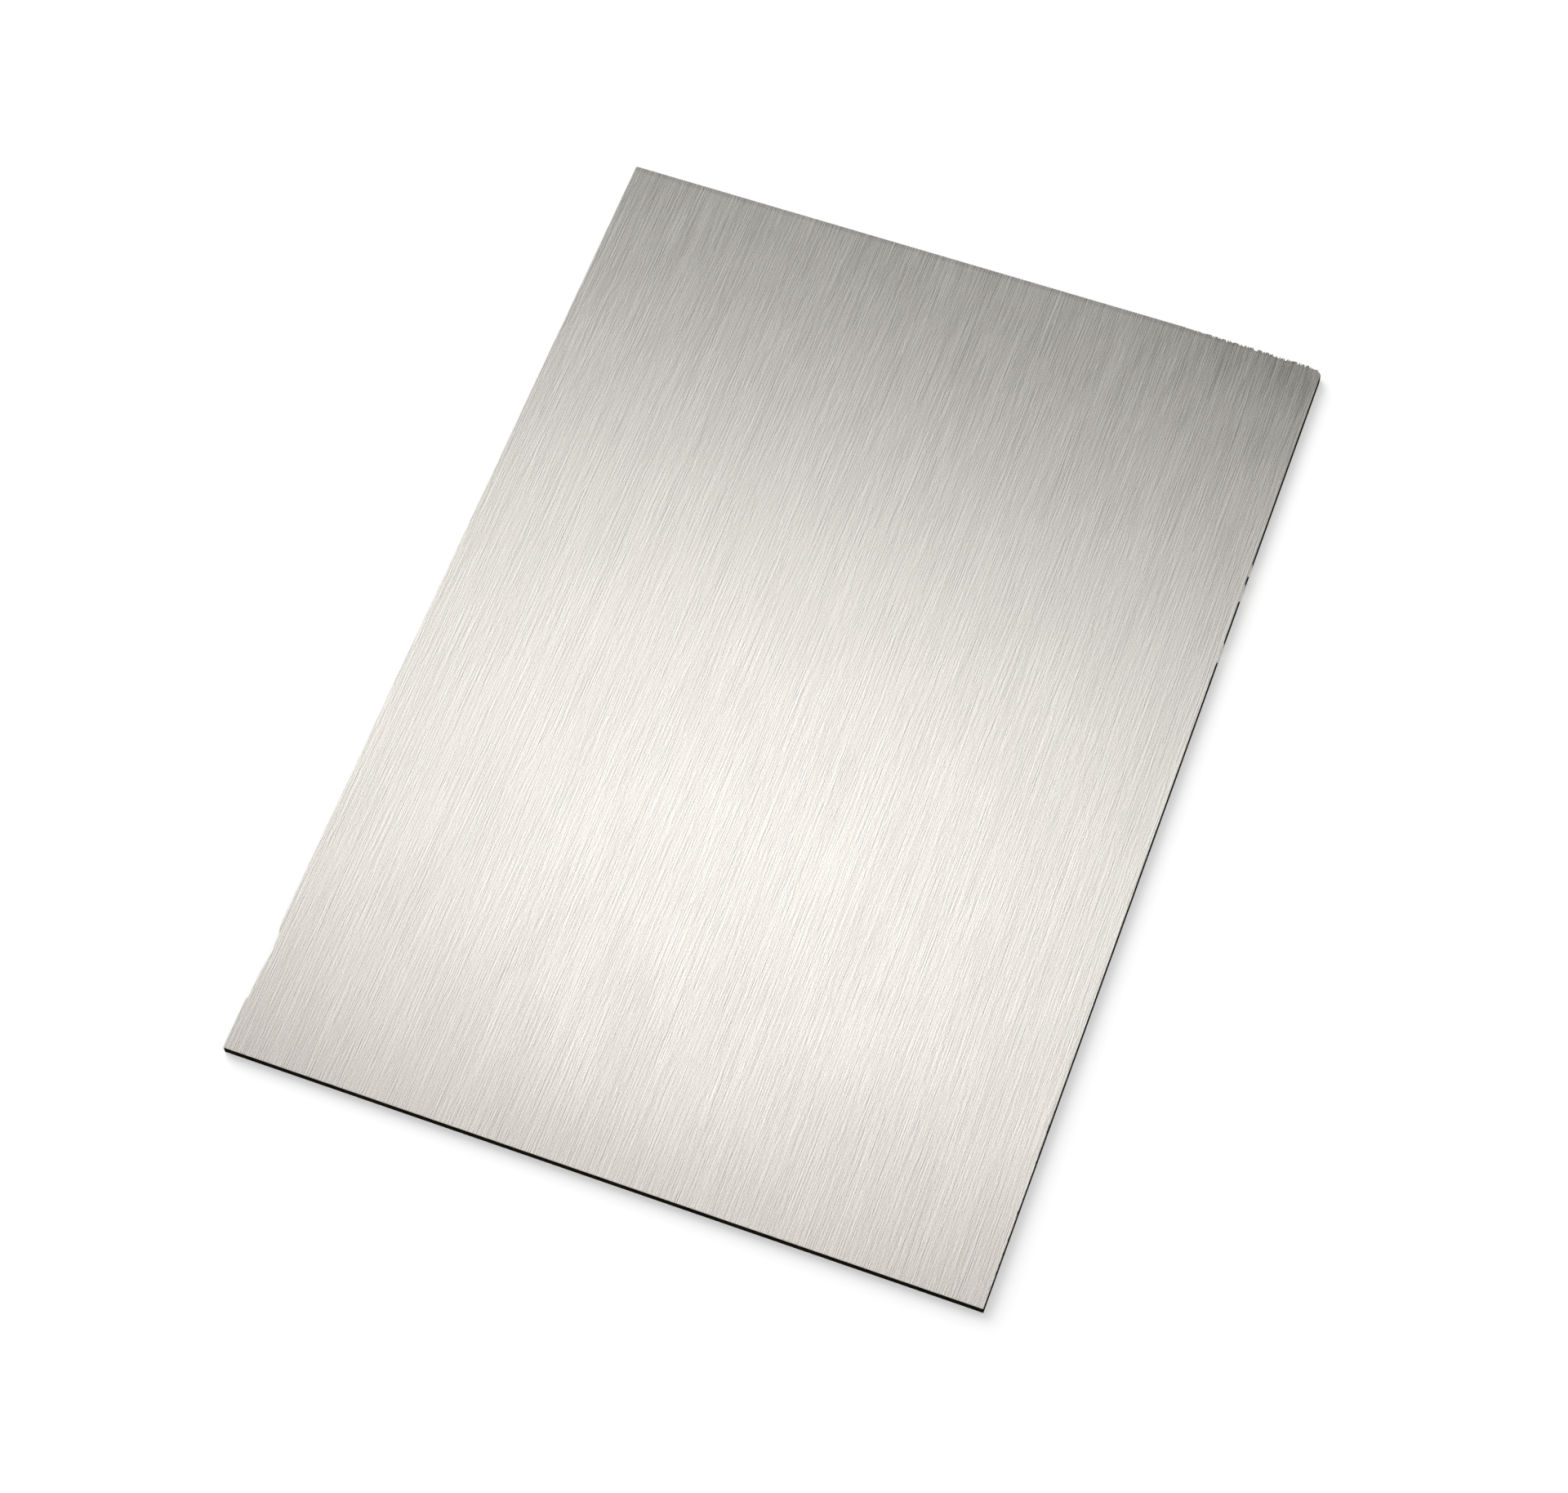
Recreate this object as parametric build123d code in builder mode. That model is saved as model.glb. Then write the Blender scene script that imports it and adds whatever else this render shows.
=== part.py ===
"""Aluminium composite panel: a flat rectangular sheet, brushed face up.

Two thin aluminium skins are bonded to a black polyethylene core, and all three are cut flush at
the edges. X runs across the sheet, Y along it and along the brushed grain, and Z up out of the
brushed face. The origin is at the middle of the back face. All sizes are in millimetres.
"""

import os

from build123d import *

# The format that the sheet is cut to
sheet_width = 210.0
sheet_length = 297.0

# The laminate, layer by layer
skin_thickness = 0.3
core_thickness = 2.4

# The cut edges: deburring eases each skin's outer arris and the four corners seen from above
arris_radius = 0.12
corner_radius = 0.3

# Heights of the layers above the back face
core_base = skin_thickness
face_skin_base = core_base + core_thickness

os.makedirs("parts", exist_ok=True)

# Back skin: plain aluminium, its lower arris eased all round
with BuildPart() as back_skin:
    with BuildSketch(Plane.XY):
        RectangleRounded(sheet_width, sheet_length, corner_radius)
    extrude(amount=skin_thickness)
    back_face = back_skin.faces().sort_by(Axis.Z)[0]
    fillet(back_face.edges(), radius=arris_radius)
back_skin.part.label = "back_skin"
export_step(back_skin.part, "parts/back_skin.step")

# Core: solid black polyethylene, from one skin to the other
with BuildPart() as core:
    with BuildSketch(Plane.XY.offset(core_base)):
        RectangleRounded(sheet_width, sheet_length, corner_radius)
    extrude(amount=core_thickness)
core.part.label = "core"
export_step(core.part, "parts/core.step")

# Face skin: brushed aluminium, its upper arris eased all round
with BuildPart() as face_skin:
    with BuildSketch(Plane.XY.offset(face_skin_base)):
        RectangleRounded(sheet_width, sheet_length, corner_radius)
    extrude(amount=skin_thickness)
    brushed_face = face_skin.faces().sort_by(Axis.Z)[-1]
    fillet(brushed_face.edges(), radius=arris_radius)
face_skin.part.label = "face_skin"
export_step(face_skin.part, "parts/face_skin.step")
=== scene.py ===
"""The looks of an aluminium composite panel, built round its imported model.

Metres, X across the panel, Y along it and along the brushed grain, Z up out of the brushed face.
"""

from math import cos, exp, pi, radians, sin, sqrt

import bpy
import numpy as np
from mathutils import Matrix, Vector


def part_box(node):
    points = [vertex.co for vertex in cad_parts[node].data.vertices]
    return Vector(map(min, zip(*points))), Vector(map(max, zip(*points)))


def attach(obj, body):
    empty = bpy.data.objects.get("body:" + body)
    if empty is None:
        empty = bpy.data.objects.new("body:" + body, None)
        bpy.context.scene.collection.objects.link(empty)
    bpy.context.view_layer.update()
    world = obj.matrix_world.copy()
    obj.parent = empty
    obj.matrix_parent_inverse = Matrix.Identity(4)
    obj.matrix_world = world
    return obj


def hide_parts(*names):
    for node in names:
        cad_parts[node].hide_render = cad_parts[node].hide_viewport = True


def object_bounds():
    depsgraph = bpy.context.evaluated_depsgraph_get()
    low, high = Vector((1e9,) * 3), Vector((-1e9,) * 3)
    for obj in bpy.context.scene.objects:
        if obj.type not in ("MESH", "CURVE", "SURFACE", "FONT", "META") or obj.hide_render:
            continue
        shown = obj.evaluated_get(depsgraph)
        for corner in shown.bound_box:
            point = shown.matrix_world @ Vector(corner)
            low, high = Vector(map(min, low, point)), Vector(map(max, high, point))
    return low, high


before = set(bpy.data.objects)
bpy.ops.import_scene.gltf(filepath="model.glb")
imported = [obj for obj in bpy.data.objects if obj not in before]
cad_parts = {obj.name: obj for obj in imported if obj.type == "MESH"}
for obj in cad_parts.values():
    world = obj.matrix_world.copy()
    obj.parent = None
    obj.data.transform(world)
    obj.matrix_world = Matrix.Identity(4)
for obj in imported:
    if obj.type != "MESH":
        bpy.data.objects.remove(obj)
CAD_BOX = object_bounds()

MM = 0.001

# The camera of the photograph, solved from the panel's four corners
LENS = 87.15
SENSOR = 36.0
CAMERA_AIM = Vector((1.85, -15.02, 0.0)) * MM
CAMERA_DISTANCE = 1031.5 * MM
CAMERA_AZIMUTH = radians(22.99)
CAMERA_ELEVATION = radians(62.98)
CAMERA_ROLL = radians(2.97)

# The cut edges: how far each outer arris is eased, and the four corners seen from above
ARRIS = 0.06 * MM
ARRIS_STEPS = 3
CORNER = 0.15 * MM

# How far each sheet's edge lies inside the panel's outline, with the core a little proud of the
# brushed skin. The brushed skin's near and right edges are drawn in by so much more, the right
# one by more and more from its near to its far end
CORE_SETBACK = 0.01 * MM
FACE_SETBACK = 0.02 * MM
BACK_SETBACK = 0.01 * MM
NEAR_SETBACK = 0.07 * MM
RIGHT_SETBACKS = (0.15 * MM, 0.23 * MM)

# The worn stretch at the right end of the far edge: its X where it starts, how far the edge has
# fallen back at the corner, and the corner's radius in the brushed skin and in the sheets below it
WORN_START = 64.0 * MM
WORN_DEPTH = 0.95 * MM
WORN_CORNER = 2.3 * MM
CORE_CORNER = 2.5 * MM

# There the brushed skin ends in fine hairs along the grain with gaps between them. The share of
# gaps and the depth of the deepest one are given for the start and for the full wear, which
# comes after a run of the edge
HAIR_PITCH = 0.22 * MM
HAIR_SEED = 7
WORN_GROWTH = 26.0 * MM
GAP_SHARES = (0.15, 0.5)
DEEPEST_GAPS = (0.7 * MM, 1.0 * MM)

# The least and most that a gap and a hair's tip fall short, as shares of the deepest gap
GAP_DEPTHS = (0.45, 1.0)
TIP_DEPTHS = (0.0, 0.2)

# How far the sheets below stand back from the hairs, and the run of the edge where that grows
WORN_SETBACK = 0.8 * MM
WORN_SETBACK_RUN = 12.0 * MM

# The brushed face is darker round its worn corner: the middle of that, and its reach along X and Y
DARK_CORNER_PLACE = (105.0 * MM, 148.5 * MM, 0.0)
DARK_CORNER_REACH = (33.0 * MM, 18.0 * MM)

# Painted shade: the face is also darker in a narrow rim along the far edge: the distances from it at
# which the rim fades out and is whole
SHADED_RIM_FADES = (1.9 * MM, 1.1 * MM)

# Painted reflection: the metal is made slightly redder towards the near edge, for the warmer light it
# reflects there: how far from it that starts, and how much
PAINTED_WARM_RUN = 75.0 * MM
PAINTED_WARMTH = (0.016, 0.0, 0.0)

# The dented stretch of the left edge: Y and depth of the points that its outline runs through,
# in millimetres
LEFT_DENT = [
    (-134.0, 0.0),
    (-133.3, 0.42),
    (-126.5, 0.48),
    (-121.0, 0.85),
    (-119.0, 1.05),
    (-116.3, 0.78),
    (-114.3, 0.70),
    (-112.3, 0.20),
    (-110.5, 0.0),
]

# Small nicks in the brushed skin's right edge: least and most Y, depth and reach along the edge,
# in millimetres
NICK_COUNT = 16
NICK_PLACES = (-140.0, -86.0)
NICK_DEPTHS = (0.05, 0.2)
NICK_REACHES = (0.12, 0.35)
NICK_SEED = 11

# Where metal is smeared down over the core in the right edge: from Y to Y, in millimetres
SMEARS = [(47.6, 54.0), (67.9, 73.5), (76.2, 80.2)]

# A smear reaches up over the skin's edge and down the core, to a least and most drop. It thins
# out over a run at each of its ends, where a share of that drop is left
SMEAR_RISE = 0.05 * MM
SMEAR_DROPS = (1.1 * MM, 2.4 * MM)
SMEAR_END = 1.2 * MM
SMEAR_TIP = 0.1
SMEAR_PITCH = 0.22 * MM
SMEAR_SEED = 3

# The meshes: steps round an eased corner and the worn corner, rows across a nick in reaches from
# its middle, and the distances between columns and rows elsewhere
CORNER_STEPS = 3
WORN_CORNER_STEPS = 10
NICK_ROWS = (-2, -1, 0, 1, 2)
COLUMN_PITCH = 6.0 * MM
WORN_COLUMN_PITCH = 2.0 * MM
ROW_PITCH = 10.0 * MM
LEAST_ROW_PITCH = 0.05 * MM

# The maps for baking: the shares of the width for each sheet's top, sides and base, and the
# space left round each of them
FACE_SHARES = (0.93, 0.05, 0.02)
CORE_SHARES = (0.05, 0.9, 0.05)
BACK_SHARES = (0.02, 0.05, 0.93)
MAP_GAP = 0.004

# Base colours
BRUSHED_METAL = (0.763, 0.745, 0.704)
CUT_METAL = (0.78, 0.75, 0.67)
# The lower skin's edge: metal darkened as painted shade, partly smeared with the core
SMEARED_SHADED_METAL = (0.34, 0.33, 0.30)
MILL_METAL = (0.80, 0.80, 0.79)
BLACK = (0.0125, 0.0102, 0.0062)

# Roughness, and how much the brushed face spreads its reflections across the grain
BRUSHED_ROUGHNESS = 0.34
CUT_ROUGHNESS = 0.42
SMEARED_ROUGHNESS = 0.55
MILL_ROUGHNESS = 0.42
BLACK_ROUGHNESS = 0.62
BRUSHED_ANISOTROPY = 0.58

# The noise levels between which the lower skin's edge goes from black to bare metal, and the power
# that keeps most of it black, as smeared core and painted shade where the panel meets the floor
BARE_LEVELS = (-0.12, 0.22)
BARE_POWER = 2.0

# The key lamp, which casts the shadow: the azimuth and elevation that it shines from, in
# degrees, its distance, size and radiance
KEY_DIRECTION = (56, 34)
KEY_DISTANCE = 3.0
KEY_SIZE = (2.57, 2.57)
KEY_RADIANCE = 4.0
KEY_TINT = (1, 1, 1)

# The softbox that the brushed face reflects
SOFTBOX_PLACE = Vector((-0.29, 0.602, 1.5))
SOFTBOX_SIZE = (0.80, 0.58)
SOFTBOX_RADIANCE = 2.04
SOFTBOX_TINT = (1.0, 0.987, 0.971)

# The studio's level at each height of a direction, from 0 at the horizon to 1 straight up
STUDIO_STOPS = [(0.0, 0.8), (0.45, 0.8), (0.8, 0.16), (1.0, 0.16)]

# The floor: its reach, how far it lies under the panel, its colour, the glow that makes it white
# to the camera, and the distances from the panel's middle where the lit floor fades to plain white
FLOOR_REACH = 2.0
FLOOR_DROP = 0.05 * MM
FLOOR_COLOUR = (0.72, 0.72, 0.72, 1)
FLOOR_GLOW = 0.42
FLOOR_FADE = (0.35, 0.8)
WHITE = (1, 1, 1, 1)

WIDTH = CAD_BOX[1].x - CAD_BOX[0].x
LENGTH = CAD_BOX[1].y - CAD_BOX[0].y
HALF_W = WIDTH / 2
HALF_L = LENGTH / 2

# The sides of a sheet, as its mesh's faces are sorted
TOP, SIDES, BASE = 0, 1, 2


def corner_loss(distance, radius):
    """How far a rounded corner falls short of a square one, at a distance from its side."""
    if distance >= radius:
        return 0.0
    return radius - sqrt(radius**2 - (radius - max(distance, 0.0)) ** 2)


def make_nicks():
    """The nicks in the right edge: Y, depth and reach of each, in millimetres."""
    random = np.random.default_rng(NICK_SEED)
    limits = (NICK_PLACES, NICK_DEPTHS, NICK_REACHES)
    return [tuple(float(random.uniform(*pair)) for pair in limits) for _ in range(NICK_COUNT)]


NICKS = make_nicks()


def grown(x, run):
    """How far the wear has grown at x, from 0 where it starts to 1 after a run of the edge."""
    return min(1.0, max(0.0, (x - WORN_START) / run))


def left_at_corner(x):
    """The share of the hairs' depth that is left at x, which runs out round the worn corner."""
    return min(1.0, (HALF_W - x) / WORN_CORNER)


def far_edge(x, hairs):
    """The far edge's Y at x with its wear: each hair's own, or for a sheet with none, a setback."""
    worn = max(0.0, (x - WORN_START) / (HALF_W - WORN_START))
    worn_corner = CORE_CORNER if hairs is None else WORN_CORNER
    short = corner_loss(x + HALF_W, CORNER) + corner_loss(HALF_W - x, worn_corner)
    short += WORN_DEPTH * worn**2
    if hairs is None:
        return HALF_L - short - WORN_SETBACK * grown(x, WORN_SETBACK_RUN) * left_at_corner(x)
    return HALF_L - short - hairs.get(x, 0.0)


def near_edge(x, drawn_in):
    """The near edge's Y at x: straight, with its two corners eased."""
    start = -HALF_L + (NEAR_SETBACK if drawn_in else 0.0)
    return start + corner_loss(x + HALF_W, CORNER) + corner_loss(HALF_W - x, CORNER)


def left_edge(y):
    """The left edge's X at y, with its dent."""
    places, depths = zip(*LEFT_DENT)
    return -HALF_W + float(np.interp(y / MM, places, depths)) * MM


def right_edge(y, drawn_in):
    """The right edge's X at y, with its nicks where it is drawn in."""
    if not drawn_in:
        return HALF_W
    depths = [depth * exp(-(((y / MM - spot) / reach) ** 2)) for spot, depth, reach in NICKS]
    setback = float(np.interp(y, (-HALF_L, HALF_L), RIGHT_SETBACKS))
    return HALF_W - setback - max(depths) * MM


def steps(start, end, pitch):
    """Evenly spaced values from start to end, both included, about a pitch apart."""
    count = max(1, round((end - start) / pitch))
    return [float(v) for v in np.linspace(start, end, count + 1)]


def columns(worn_pitch):
    """The X of each column of a sheet's mesh, at a closer pitch where the edge is worn."""
    turns = [pi / 2 * i / CORNER_STEPS for i in range(CORNER_STEPS + 1)]
    eased = [-HALF_W + CORNER * (1 - cos(turn)) for turn in turns]
    plain = steps(-HALF_W + CORNER, WORN_START, COLUMN_PITCH)
    worn = steps(WORN_START, HALF_W - WORN_CORNER, worn_pitch)
    turns = [pi / 2 * i / WORN_CORNER_STEPS for i in range(WORN_CORNER_STEPS + 1)]
    rounded = [HALF_W - WORN_CORNER * (1 - sin(turn)) for turn in turns]
    return eased[:-1] + plain[:-1] + worn[:-1] + rounded


def rows(nicked):
    """The nominal Y of each row of a sheet's mesh, closer together at the dent and the nicks."""
    ys = steps(-HALF_L, HALF_L, ROW_PITCH) + [spot * MM for spot, _ in LEFT_DENT]
    if nicked:
        ys += [(spot + reach * k) * MM for spot, _, reach in NICKS for k in NICK_ROWS]
    ys.sort()
    return [y for y, after in zip(ys, ys[1:]) if after - y > LEAST_ROW_PITCH] + [HALF_L]


def make_hairs(xs):
    """How far the skin falls short at each column of the worn stretch: a hair's tip or a gap."""
    random = np.random.default_rng(HAIR_SEED)
    depths = {}
    for x in xs:
        if x > WORN_START:
            growth = grown(x, WORN_GROWTH)
            is_gap = random.random() < np.interp(growth, (0, 1), GAP_SHARES)
            share = float(random.uniform(*(GAP_DEPTHS if is_gap else TIP_DEPTHS)))
            depths[x] = share * float(np.interp(growth, (0, 1), DEEPEST_GAPS)) * left_at_corner(x)
    return depths


def place(x, y, inset, hairs):
    """Where a point of the sheet's grid lies, for an outline drawn in by an inset."""
    drawn_in = hairs is not None
    near = near_edge(x, drawn_in) + inset
    far = far_edge(x, hairs) - inset
    left = left_edge(y) + inset
    right = right_edge(y, drawn_in) - inset
    along = (y + HALF_L) / LENGTH
    across = (x + HALF_W) / WIDTH
    return left + (right - left) * across, near + (far - near) * along


class Sheet:
    """One sheet of the laminate as a closed mesh of quads, between two heights. A ragged one is
    drawn in at its near and right edges, and has the nicks and hairs."""

    def __init__(self, name, node, worn_pitch, setback, ragged=False):
        low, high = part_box(node)
        self.name, self.node, self.setback = name, node, setback
        self.low, self.high = low.z, high.z
        self.xs, self.ys = columns(worn_pitch), rows(ragged)
        self.hairs = make_hairs(self.xs) if ragged else None
        self.verts, self.faces, self.kinds = [], [], []
        nx, ny = len(self.xs), len(self.ys)
        self.ring = [(i, 0) for i in range(nx)]
        self.ring += [(nx - 1, j) for j in range(1, ny)]
        self.ring += [(i, ny - 1) for i in range(nx - 2, -1, -1)]
        self.ring += [(0, j) for j in range(ny - 2, 0, -1)]

    def layer(self, spots, inset, z):
        """Adds a vertex at each spot of the grid, at one height, and returns their numbers."""
        first = len(self.verts)
        for i, j in spots:
            spot = place(self.xs[i], self.ys[j], inset + self.setback, self.hairs)
            self.verts.append((*spot, z))
        return list(range(first, len(self.verts)))

    def face(self, inset, z, kind):
        """Adds the top or base face, and returns the numbers of the vertices round it."""
        nx, ny = len(self.xs), len(self.ys)
        at = self.layer([(i, j) for j in range(ny) for i in range(nx)], inset, z)
        for j in range(ny - 1):
            for i in range(nx - 1):
                k = j * nx + i
                quad = [at[k], at[k + 1], at[k + 1 + nx], at[k + nx]]
                self.faces.append(quad if kind == TOP else quad[::-1])
                self.kinds.append(kind)
        return [at[j * nx + i] for i, j in self.ring]

    def wall(self, upper, lower):
        """Adds the band of quads between two rings, the upper one first."""
        for k in range(len(upper)):
            after = (k + 1) % len(upper)
            self.faces.append([upper[k], lower[k], lower[after], upper[after]])
            self.kinds.append(SIDES)

    def build(self, top_eased=False, base_eased=False):
        """Makes the piece, with its top's or base's arris eased, and returns its mesh."""
        turns = [pi / 2 * k / ARRIS_STEPS for k in range(ARRIS_STEPS + 1)]
        eased = [(ARRIS * (1 - sin(t)), ARRIS * (1 - cos(t))) for t in turns]
        upper_levels = eased if top_eased else [(0.0, 0.0)]
        lower_levels = eased[::-1] if base_eased else [(0.0, 0.0)]
        upper = self.face(upper_levels[0][0], self.high, TOP)
        rings = [(inset, self.high - drop) for inset, drop in upper_levels[1:]]
        rings += [(inset, self.low + rise) for inset, rise in lower_levels[:-1]]
        for inset, z in rings:
            lower = self.layer(self.ring, inset, z)
            self.wall(upper, lower)
            upper = lower
        self.wall(upper, self.face(lower_levels[-1][0], self.low, BASE))
        mesh = bpy.data.meshes.new(self.name)
        mesh.from_pydata(self.verts, [], self.faces)
        sheet = bpy.data.objects.new(self.name, mesh)
        bpy.context.scene.collection.objects.link(sheet)
        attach(sheet, "root")
        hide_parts(self.node)
        return mesh


def lay_out_maps(mesh, sheet, shares):
    """Gives a sheet's mesh two maps: one in true proportion, whose U runs across the grain, and one
    for baking, where the top, the four sides and the base have their shares of the width."""
    grain = mesh.uv_layers.new(name="grain")
    bake = mesh.uv_layers.new(name="OFBake")
    starts = [0.0, shares[TOP], shares[TOP] + shares[SIDES]]
    strip = shares[SIDES] / 4
    for polygon, kind in zip(mesh.polygons, sheet.kinds):
        normal = polygon.normal
        for loop in polygon.loop_indices:
            p = mesh.vertices[mesh.loops[loop].vertex_index].co
            across, along = (p.x + HALF_W) / WIDTH, (p.y + HALF_L) / LENGTH
            grain.data[loop].uv = (across * WIDTH / LENGTH, along)
            if kind != SIDES:
                u = starts[kind] + MAP_GAP + across * (shares[kind] - 2 * MAP_GAP)
                bake.data[loop].uv = (u, MAP_GAP + along * (1 - 2 * MAP_GAP))
                continue
            # One strip each for the near, far, right and left side
            sideways = abs(normal.x) > abs(normal.y)
            side = (2 if normal.x > 0 else 3) if sideways else (0 if normal.y < 0 else 1)
            height = (p.z - sheet.low) / (sheet.high - sheet.low)
            u = starts[SIDES] + side * strip + MAP_GAP / 2 + height * (strip - MAP_GAP)
            run = along if sideways else across * WIDTH / LENGTH
            bake.data[loop].uv = (u, MAP_GAP + run * (1 - 2 * MAP_GAP))


class Nodes:
    """A material's or world's node tree, with short calls for the nodes it is made of."""

    def __init__(self, tree):
        self.tree = tree
        tree.nodes.clear()

    def add(self, kind, inputs=None, **settings):
        """Adds a node. Its inputs are values or other nodes' outputs, by name or number."""
        node = self.tree.nodes.new(kind)
        for name, value in settings.items():
            setattr(node, name, value)
        for name, value in (inputs or {}).items():
            socket = node.inputs[name]
            if isinstance(value, bpy.types.NodeSocket):
                self.tree.links.new(value, socket)
            else:
                socket.default_value = value
        return node

    def where(self):
        """The place of the point that is shaded, in the object's own metres."""
        return self.add("ShaderNodeTexCoord").outputs["Object"]

    def math(self, operation, a, b=0.0):
        """The result of a sum on one or two values."""
        return self.add("ShaderNodeMath", {0: a, 1: b}, operation=operation).outputs[0]

    def spread(self, value, low, high, to_low, to_high):
        """The value moved from one range to another, and held inside it."""
        numbers = {"From Min": low, "From Max": high, "To Min": to_low, "To Max": to_high}
        node = self.add("ShaderNodeMapRange", {"Value": value, **numbers})
        return node.outputs["Result"]

    def stretch(self, place, across, along):
        """Places in the pattern's own units, of which so many go to a metre across and along."""
        inputs = {0: place, 1: (across, along, 1.0)}
        return self.add("ShaderNodeVectorMath", inputs, operation="MULTIPLY").outputs[0]

    def noise(self, place, across, along, detail):
        """Noise about zero, with so many cycles a metre across and along."""
        inputs = {"Vector": self.stretch(place, across, along), "Scale": 1.0, "Detail": detail}
        node = self.add("ShaderNodeTexNoise", inputs, noise_dimensions="2D")
        return self.math("SUBTRACT", node.outputs[0], 0.5)

    def falloff(self, place, centre, reach):
        """A value of 1 at the centre that falls to nearly 0 at twice the reach along X and Y."""
        away = self.add("ShaderNodeVectorMath", {0: place, 1: centre}, operation="SUBTRACT")
        scaled = self.stretch(away.outputs[0], 1 / reach[0], 1 / reach[1])
        square = self.add("ShaderNodeVectorMath", {0: scaled, 1: scaled}, operation="DOT_PRODUCT")
        return self.math("EXPONENT", self.math("MULTIPLY", square.outputs["Value"], -1.0))

    def lines(self, place, across, along):
        """A value about zero for each of many fine straight lines, so many to a metre each way."""
        parts = self.add("ShaderNodeSeparateXYZ", {0: self.stretch(place, across, along)})
        column = self.math("FLOOR", parts.outputs["X"])
        start = self.add("ShaderNodeTexWhiteNoise", {"W": column}, noise_dimensions="1D")
        piece = self.math("FLOOR", self.math("ADD", parts.outputs["Y"], start.outputs["Value"]))
        cell = self.add("ShaderNodeCombineXYZ", {"X": column, "Y": piece}).outputs[0]
        tone = self.add("ShaderNodeTexWhiteNoise", {"Vector": cell}, noise_dimensions="2D")
        return self.math("SUBTRACT", tone.outputs["Value"], 0.5)

    def lit_and_shaded_grooves(self, place, across, along, flank):
        """Fine lines with painted light on one flank and painted shade on the other, a flank's width
        apart.
        """
        beside = self.add("ShaderNodeVectorMath", {0: place, 1: (flank, 0, 0)})
        lit = self.lines(place, across, along)
        shaded = self.lines(beside.outputs[0], across, along)
        return self.math("SUBTRACT", lit, shaded)

    def total(self, parts):
        """The sum of several values, each times its own weight."""
        result = 0.0
        for value, weight in parts:
            inputs = {0: value, 1: weight, 2: result}
            result = self.add("ShaderNodeMath", inputs, operation="MULTIPLY_ADD").outputs[0]
        return result

    def roughness(self, middle, parts):
        """A roughness that varies about a middle by the sum of the parts."""
        return self.math("ADD", self.total(parts), middle)

    def bump(self, height, strength, depth):
        """The surface's normal, tilted by a relief that is so deep."""
        inputs = {"Height": height, "Strength": strength, "Distance": depth}
        return self.add("ShaderNodeBump", inputs).outputs[0]

    def shade(self, colour, amount):
        """A colour made brighter or darker by an amount about zero."""
        inputs = {0: colour, "Scale": self.math("ADD", amount, 1.0)}
        return self.add("ShaderNodeVectorMath", inputs, operation="SCALE").outputs[0]

    def mix(self, share, first, second):
        """A shader that goes from the first to the second as a share goes from 0 to 1."""
        inputs = {0: share, 1: first.outputs[0], 2: second.outputs[0]}
        return self.add("ShaderNodeMixShader", inputs)

    def finish(self, shader):
        """Sends a shader to the material's output."""
        self.add("ShaderNodeOutputMaterial", {"Surface": shader.outputs[0]})

    def surface(self, inputs):
        """Gives the material a principled shader with these inputs."""
        self.finish(self.add("ShaderNodeBsdfPrincipled", inputs))


def new_material(name):
    """An empty material and its nodes."""
    material = bpy.data.materials.new(name)
    material.use_nodes = True
    return material, Nodes(material.node_tree)


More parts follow.
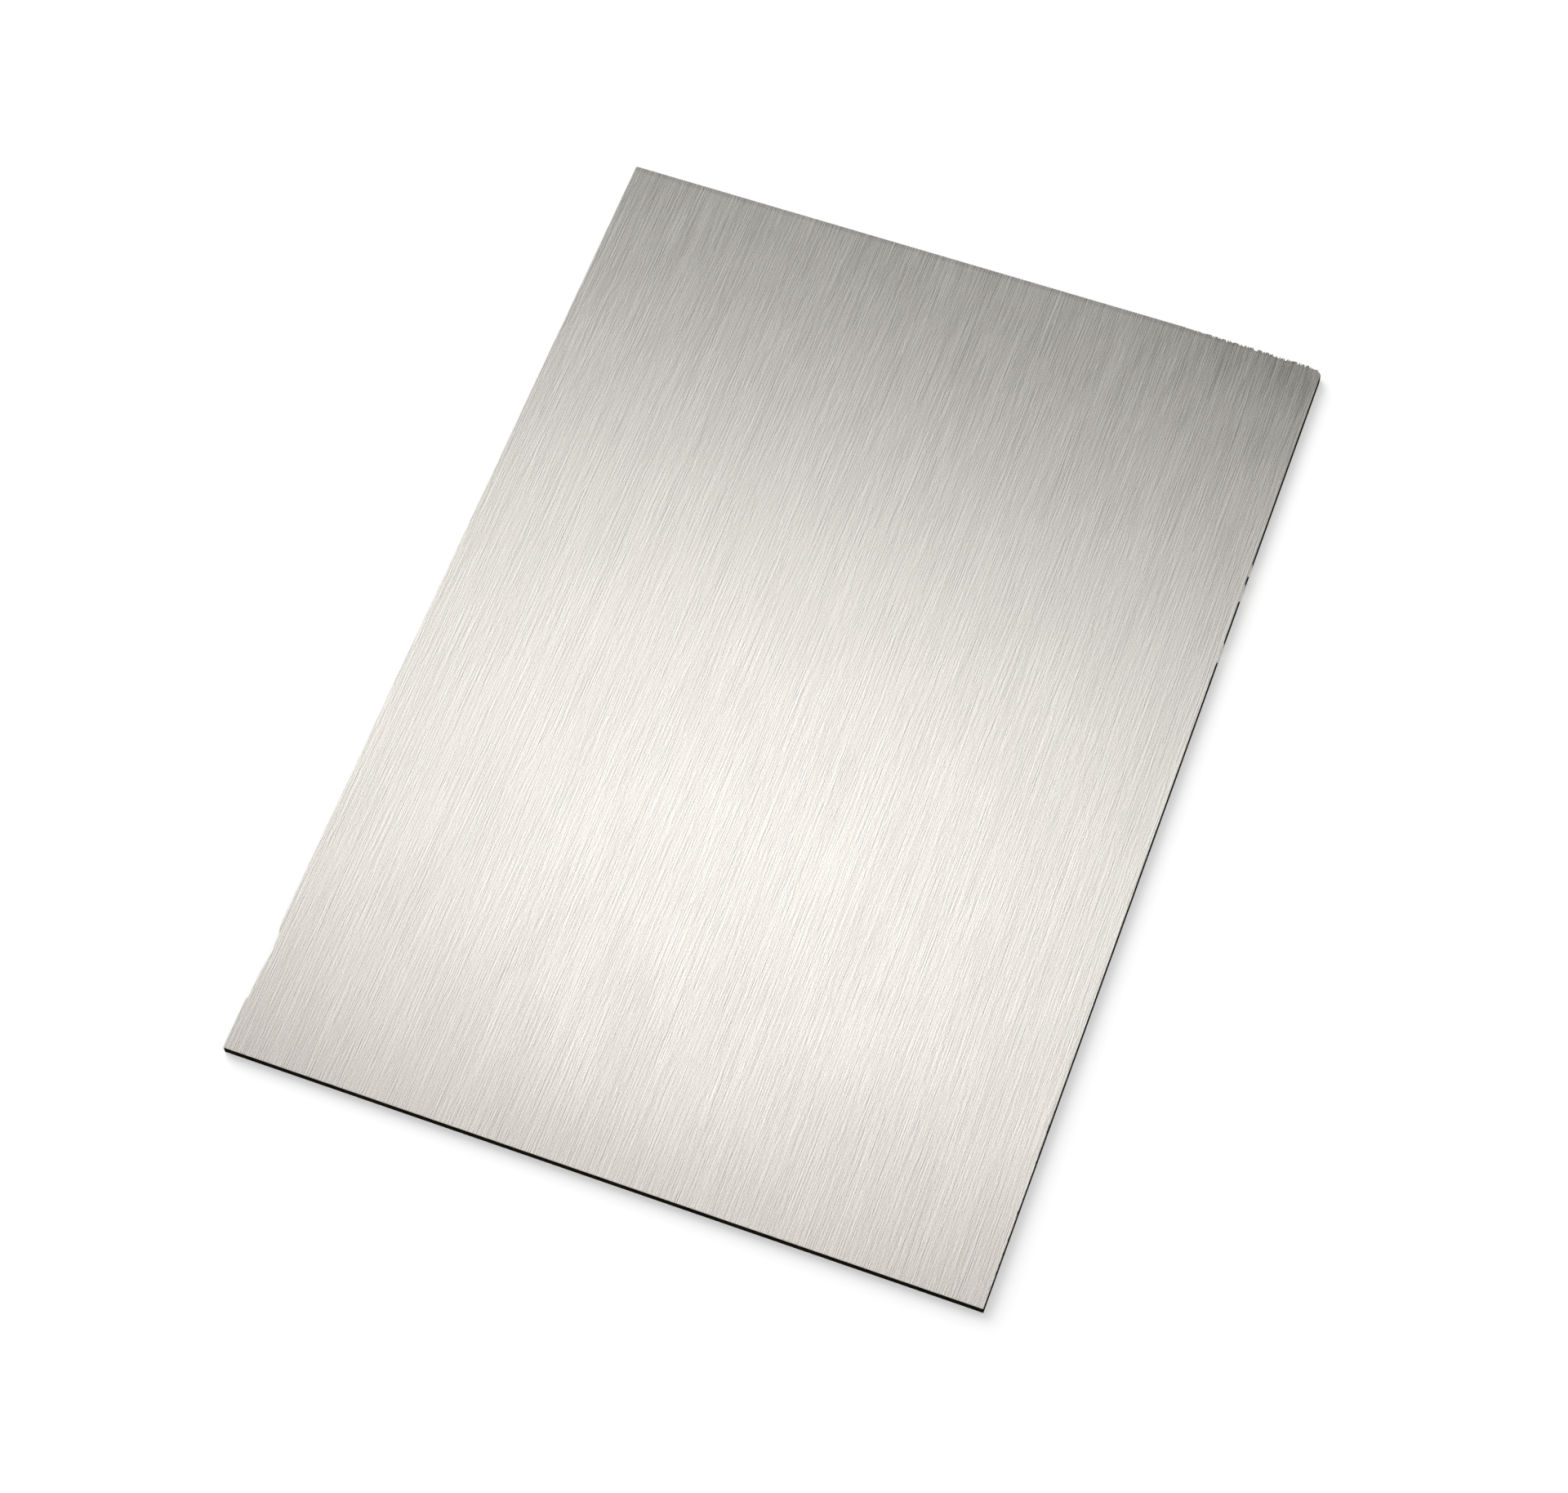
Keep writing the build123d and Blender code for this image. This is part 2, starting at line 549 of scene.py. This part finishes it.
def brushed_aluminium():
    """The brushed face: grooves of three lengths with painted light and shade on their flanks,
    broader streaks, grit and faint clouds, along Y.
    """
    material, nodes = new_material("brushed_aluminium")
    place_at = nodes.where()
    # Painted light and shade: each groove is a grain line with a lit flank beside a shaded one
    long_grooves = nodes.lit_and_shaded_grooves(place_at, across=7000, along=64, flank=0.26 * MM)
    hairlines = nodes.lit_and_shaded_grooves(place_at, across=6100, along=110, flank=0.26 * MM)
    scratches = nodes.lit_and_shaded_grooves(place_at, across=7700, along=320, flank=0.25 * MM)
    streaks = nodes.lines(place_at, across=3100, along=90)
    broad_streaks = nodes.lines(place_at, across=1500, along=50)
    grit = nodes.noise(place_at, across=3200, along=2400, detail=0.0)
    bands = nodes.noise(place_at, across=210, along=9, detail=2.0)
    clouds = nodes.noise(place_at, across=55, along=30, detail=3.0)
    # The face is made darker round the worn corner
    dark_corner = nodes.falloff(place_at, DARK_CORNER_PLACE, DARK_CORNER_REACH)
    along = nodes.add("ShaderNodeSeparateXYZ", {0: place_at}).outputs["Y"]
    # Painted shade: a darker rim along the far edge
    shaded_rim = nodes.spread(along, HALF_L - SHADED_RIM_FADES[0], HALF_L - SHADED_RIM_FADES[1], 0.0, 1.0)
    tone = nodes.total(
        [
            (long_grooves, 0.25),
            (hairlines, 0.24),
            (scratches, 0.19),
            (streaks, 0.15),
            (broad_streaks, 0.06),
            (grit, 0.36),
            (bands, 0.07),
            (clouds, 0.05),
            (dark_corner, -0.28),
            (shaded_rim, -0.14),
        ]
    )
    # Painted reflection: redder towards the near edge, for the warmer light reflected there
    near = nodes.spread(along, -HALF_L, -HALF_L + PAINTED_WARM_RUN, 1.0, 0.0)
    painted_warmth = nodes.add("ShaderNodeVectorMath", {0: PAINTED_WARMTH, "Scale": near}, operation="SCALE")
    plain = nodes.shade(BRUSHED_METAL, tone)
    colour = nodes.add("ShaderNodeVectorMath", {0: plain, 1: painted_warmth.outputs[0]})
    rough = nodes.roughness(BRUSHED_ROUGHNESS, [(streaks, 0.05), (clouds, 0.04)])
    relief = nodes.total([(hairlines, 1.0), (scratches, 0.6)])
    bump = nodes.bump(relief, strength=0.25, depth=0.01 * MM)
    tangent = nodes.add("ShaderNodeTangent", direction_type="UV_MAP", uv_map="grain")
    nodes.surface(
        {
            "Base Color": colour.outputs[0],
            "Metallic": 1.0,
            "Roughness": rough,
            "Anisotropic": BRUSHED_ANISOTROPY,
            "Normal": bump,
            "Tangent": tangent.outputs[0],
        }
    )
    return material


def cut_aluminium():
    """A skin's cut edge: bright metal with fine shear marks across its thickness."""
    material, nodes = new_material("cut_aluminium")
    place_at = nodes.where()
    marks = nodes.noise(place_at, across=2200, along=2200, detail=2.0)
    colour = nodes.shade(CUT_METAL, nodes.total([(marks, 0.35)]))
    rough = nodes.roughness(CUT_ROUGHNESS, [(marks, 0.3)])
    nodes.surface({"Base Color": colour, "Metallic": 1.0, "Roughness": rough})
    return material


def smeared_and_shaded_aluminium():
    """The lower skin's cut edge: dull metal smeared with the black core, and mostly black as painted
    shade where it meets the floor.
    """
    material, nodes = new_material("smeared_and_shaded_aluminium")
    place_at = nodes.where()
    patches = nodes.noise(place_at, across=700, along=700, detail=3.0)
    bare = nodes.math("POWER", nodes.spread(patches, *BARE_LEVELS, 0.0, 1.0), BARE_POWER)
    metal = nodes.add("ShaderNodeVectorMath", {0: SMEARED_SHADED_METAL, "Scale": bare}, operation="SCALE")
    colour = nodes.add("ShaderNodeVectorMath", {0: metal.outputs[0], 1: BLACK})
    nodes.surface(
        {
            "Base Color": colour.outputs[0],
            "Metallic": bare,
            "Roughness": SMEARED_ROUGHNESS,
            "Specular IOR Level": 0.0,
        }
    )
    return material


def black_core():
    """The core's sawn edge: matt black polyethylene with faint upright saw marks and smears."""
    material, nodes = new_material("black_polyethylene")
    place_at = nodes.where()
    marks = nodes.noise(place_at, across=1500, along=1500, detail=3.0)
    smears = nodes.noise(place_at, across=120, along=120, detail=2.0)
    colour = nodes.shade(BLACK, nodes.total([(marks, 1.2), (smears, 1.0)]))
    rough = nodes.roughness(BLACK_ROUGHNESS, [(marks, 0.3)])
    bump = nodes.bump(marks, strength=0.4, depth=0.03 * MM)
    nodes.surface(
        {
            "Base Color": colour,
            "Roughness": rough,
            "Specular IOR Level": 0.0,
            "Normal": bump,
        }
    )
    return material


def mill_aluminium():
    """The plain back: dull rolled metal with faint rolling lines along Y."""
    material, nodes = new_material("mill_aluminium")
    place_at = nodes.where()
    rolling = nodes.noise(place_at, across=900, along=6, detail=3.0)
    clouds = nodes.noise(place_at, across=40, along=25, detail=3.0)
    colour = nodes.shade(MILL_METAL, nodes.total([(rolling, 0.12), (clouds, 0.08)]))
    rough = nodes.roughness(MILL_ROUGHNESS, [(rolling, 0.1), (clouds, 0.12)])
    bump = nodes.bump(rolling, strength=0.2, depth=0.01 * MM)
    nodes.surface(
        {
            "Base Color": colour,
            "Metallic": 1.0,
            "Roughness": rough,
            "Normal": bump,
        }
    )
    return material


def paint(mesh, sheet, top, sides, base):
    """Gives the top, sides and base of a sheet's mesh their materials."""
    used = []
    for material in (top, sides, base):
        if material not in used:
            used.append(material)
            mesh.materials.append(material)
    order = [used.index(material) for material in (top, sides, base)]
    mesh.polygons.foreach_set("material_index", [order[kind] for kind in sheet.kinds])


def add_camera():
    """The camera of the photograph."""
    data = bpy.data.cameras.new("camera")
    data.lens, data.sensor_width = LENS, SENSOR
    camera = bpy.data.objects.new("camera", data)
    bpy.context.scene.collection.objects.link(camera)
    away = cos(CAMERA_ELEVATION)
    sideways, backwards = sin(CAMERA_AZIMUTH) * away, -cos(CAMERA_AZIMUTH) * away
    back = Vector((sideways, backwards, sin(CAMERA_ELEVATION)))
    level = back.to_track_quat("Z", "Y").to_matrix().to_4x4()
    turned = level @ Matrix.Rotation(-CAMERA_ROLL, 4, "Z")
    camera.matrix_world = Matrix.Translation(CAMERA_AIM + back * CAMERA_DISTANCE) @ turned
    bpy.context.scene.camera = camera


def direction(azimuth, elevation):
    """A unit vector up from the panel: azimuth 0 is towards +Y and 90 towards -X."""
    a, e = radians(azimuth), radians(elevation)
    return Vector((-sin(a) * cos(e), cos(a) * cos(e), sin(e)))


def add_lamp(name, position, behind, size, radiance, tint, in_reflections):
    """A rectangular lamp with its back to a direction, and with the radiance of its surface."""
    data = bpy.data.lights.new(name, "AREA")
    data.shape = "RECTANGLE"
    data.size, data.size_y = size
    data.energy = radiance * pi * size[0] * size[1]
    data.color = tint
    lamp = bpy.data.objects.new(name, data)
    lamp.location = position
    lamp.rotation_mode = "QUATERNION"
    lamp.rotation_quaternion = behind.to_track_quat("Z", "Y")
    lamp.visible_glossy = in_reflections
    lamp.visible_camera = False
    bpy.context.scene.collection.objects.link(lamp)


def add_lights():
    """A key lamp at the far left for the shadow, and a softbox that the face reflects."""
    key_place = direction(*KEY_DIRECTION) * KEY_DISTANCE
    add_lamp("key", key_place, key_place, KEY_SIZE, KEY_RADIANCE, KEY_TINT, False)
    up = Vector((0, 0, 1))
    add_lamp("softbox", SOFTBOX_PLACE, up, SOFTBOX_SIZE, SOFTBOX_RADIANCE, SOFTBOX_TINT, True)


def add_world():
    """A plain studio: white to the camera, and a soft gradient in reflections and as light."""
    world = bpy.data.worlds.new("studio")
    bpy.context.scene.world = world
    world.use_nodes = True
    nodes = Nodes(world.node_tree)
    towards = nodes.add("ShaderNodeTexCoord").outputs["Generated"]
    height = nodes.add("ShaderNodeSeparateXYZ", {0: towards}).outputs["Z"]
    ramp = nodes.add("ShaderNodeValToRGB", {"Fac": height})
    elements = ramp.color_ramp.elements
    for position, _ in STUDIO_STOPS[1:-1]:
        elements.new(position)
    for element, (position, level) in zip(elements, STUDIO_STOPS):
        element.position = position
        element.color = (level, level, level, 1)
    light = nodes.add("ShaderNodeBackground", {"Color": ramp.outputs["Color"]})
    white = nodes.add("ShaderNodeBackground", {"Color": WHITE, "Strength": 1.0})
    seen = nodes.add("ShaderNodeLightPath").outputs["Is Camera Ray"]
    mixed = nodes.mix(seen, light, white)
    nodes.add("ShaderNodeOutputWorld", {"Surface": mixed.outputs[0]})


def add_floor():
    """A white floor just under the panel, which keeps its shadow and is see-through from below."""
    mesh = bpy.data.meshes.new("floor")
    signs = [(-1, -1), (1, -1), (1, 1), (-1, 1)]
    corners = [(x * FLOOR_REACH, y * FLOOR_REACH, 0) for x, y in signs]
    mesh.from_pydata(corners, [], [(0, 1, 2, 3)])
    floor = bpy.data.objects.new("floor", mesh)
    floor.location.z = -FLOOR_DROP
    bpy.context.scene.collection.objects.link(floor)
    material, nodes = new_material("white_floor")
    away = nodes.where()
    lit = nodes.add("ShaderNodeBsdfDiffuse", {"Color": FLOOR_COLOUR})
    path = nodes.add("ShaderNodeLightPath")
    seen = nodes.math("MAXIMUM", path.outputs["Is Camera Ray"], path.outputs["Is Glossy Ray"])
    seen = nodes.math("MAXIMUM", seen, path.outputs["Is Transmission Ray"])
    strength = nodes.math("MULTIPLY", seen, FLOOR_GLOW)
    glow = nodes.add("ShaderNodeEmission", {"Color": WHITE, "Strength": strength})
    both = nodes.add("ShaderNodeAddShader", {0: lit.outputs[0], 1: glow.outputs[0]})
    distance = nodes.add("ShaderNodeVectorMath", {0: away}, operation="LENGTH")
    far = nodes.spread(distance.outputs["Value"], *FLOOR_FADE, 0.0, 1.0)
    plain = nodes.add("ShaderNodeEmission", {"Color": WHITE, "Strength": seen})
    below = nodes.add("ShaderNodeNewGeometry").outputs["Backfacing"]
    clear = nodes.add("ShaderNodeBsdfTransparent")
    nodes.finish(nodes.mix(below, nodes.mix(far, both, plain), clear))
    mesh.materials.append(material)


def add_smears(core, metal):
    """Thin smears of metal over the core in the right edge, each with a ragged lower end."""
    random = np.random.default_rng(SMEAR_SEED)
    verts, faces = [], []
    inner, upper = HALF_W - FACE_SETBACK - RIGHT_SETBACKS[1], core.high + SMEAR_RISE
    for start, end in SMEARS:
        ys = steps(start * MM, end * MM, SMEAR_PITCH)
        first = len(verts)
        for y in ys:
            from_end = min(y - ys[0], ys[-1] - y)
            whole = min(1.0, SMEAR_TIP + from_end / SMEAR_END)
            lower = core.high - whole * float(random.uniform(*SMEAR_DROPS))
            verts += [(inner, y, upper), (HALF_W, y, upper), (HALF_W, y, lower), (inner, y, lower)]
        last = first + 4 * (len(ys) - 1)
        for k in range(first, last, 4):
            faces += [[k + i, k + (i + 1) % 4, k + 4 + (i + 1) % 4, k + 4 + i] for i in range(4)]
        faces += [[first + 3, first + 2, first + 1, first], list(range(last, last + 4))]
    mesh = bpy.data.meshes.new("edge_smears")
    mesh.from_pydata(verts, [], faces)
    mesh.materials.append(metal)
    smears = bpy.data.objects.new("edge_smears", mesh)
    bpy.context.scene.collection.objects.link(smears)
    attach(smears, "root")


def add_panel():
    """The three sheets of the laminate, and the smears over the core."""
    brushed, cut = brushed_aluminium(), cut_aluminium()
    black, mill, smeared_and_shaded = black_core(), mill_aluminium(), smeared_and_shaded_aluminium()

    face = Sheet("brushed_sheet", "face_skin", HAIR_PITCH, FACE_SETBACK, ragged=True)
    mesh = face.build(top_eased=True)
    lay_out_maps(mesh, face, FACE_SHARES)
    paint(mesh, face, brushed, cut, mill)

    core = Sheet("core_sheet", "core", WORN_COLUMN_PITCH, CORE_SETBACK)
    mesh = core.build()
    lay_out_maps(mesh, core, CORE_SHARES)
    paint(mesh, core, black, black, black)
    add_smears(core, cut)

    back = Sheet("back_sheet", "back_skin", WORN_COLUMN_PITCH, BACK_SETBACK)
    mesh = back.build(base_eased=True)
    lay_out_maps(mesh, back, BACK_SHARES)
    # The lower skin's sides: smeared core and painted shade where the panel meets the floor
    paint(mesh, back, mill, smeared_and_shaded, mill)


add_panel()
add_floor()
add_lights()
add_world()
add_camera()

bpy.context.scene.view_settings.view_transform = "Standard"
